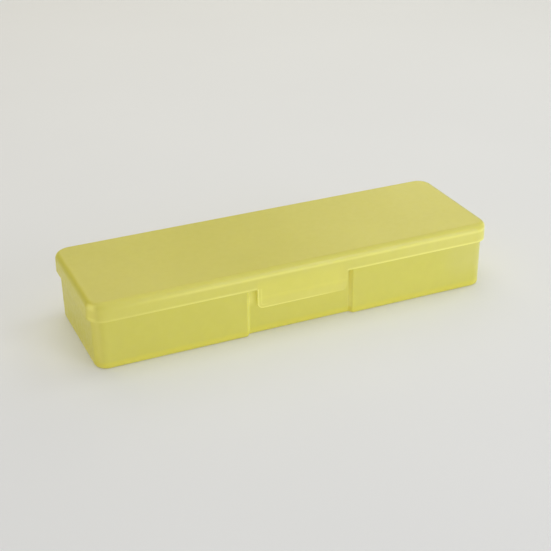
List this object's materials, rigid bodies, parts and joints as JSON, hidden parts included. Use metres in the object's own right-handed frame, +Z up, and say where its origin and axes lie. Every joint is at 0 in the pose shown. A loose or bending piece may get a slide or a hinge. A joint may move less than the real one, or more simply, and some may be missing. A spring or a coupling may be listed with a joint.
{
  "type": "pencil case",
  "caption": "Slim rectangular hinged pencil case in translucent moulded plastic, with an overlapping lid and a front clasp that snaps shut over a thumb recess.",
  "frame": {"origin": "centre of the flat underside of the tray", "axes": "+X along the case to the right seen from the clasp, +Z up, the clasp at -Y and the hinges at +Y"},
  "size_m": [0.2, 0.0677, 0.0335],
  "materials": {
    "tray_plastic": "frosted translucent yellow polypropylene",
    "lid_plastic": "frosted translucent yellow polypropylene",
    "clasp_plastic": "frosted translucent yellow polypropylene, thin",
    "pin_steel": "drawn wire"
  },
  "bodies": {
    "base": {"base_tray": "tray_plastic", "hinge_pin_left": "pin_steel", "hinge_pin_right": "pin_steel"},
    "lid": {"lid": "lid_plastic"},
    "clasp": {"clasp_tab": "clasp_plastic"}
  },
  "joints": [
    {"name": "lid_hinge", "type": "hinge", "parent": "base", "child": "lid", "pos_m": [0, 0.03325, 0.022], "axis": [-1, 0, 0], "range_deg": [0, 180]},
    {"name": "clasp_flex", "type": "hinge", "parent": "lid", "child": "clasp", "pos_m": [0, -0.03155, 0.0247], "axis": [-1, 0, 0], "range_deg": [0, 12], "stiffness_Nm_per_rad": 0.8}
  ]
}
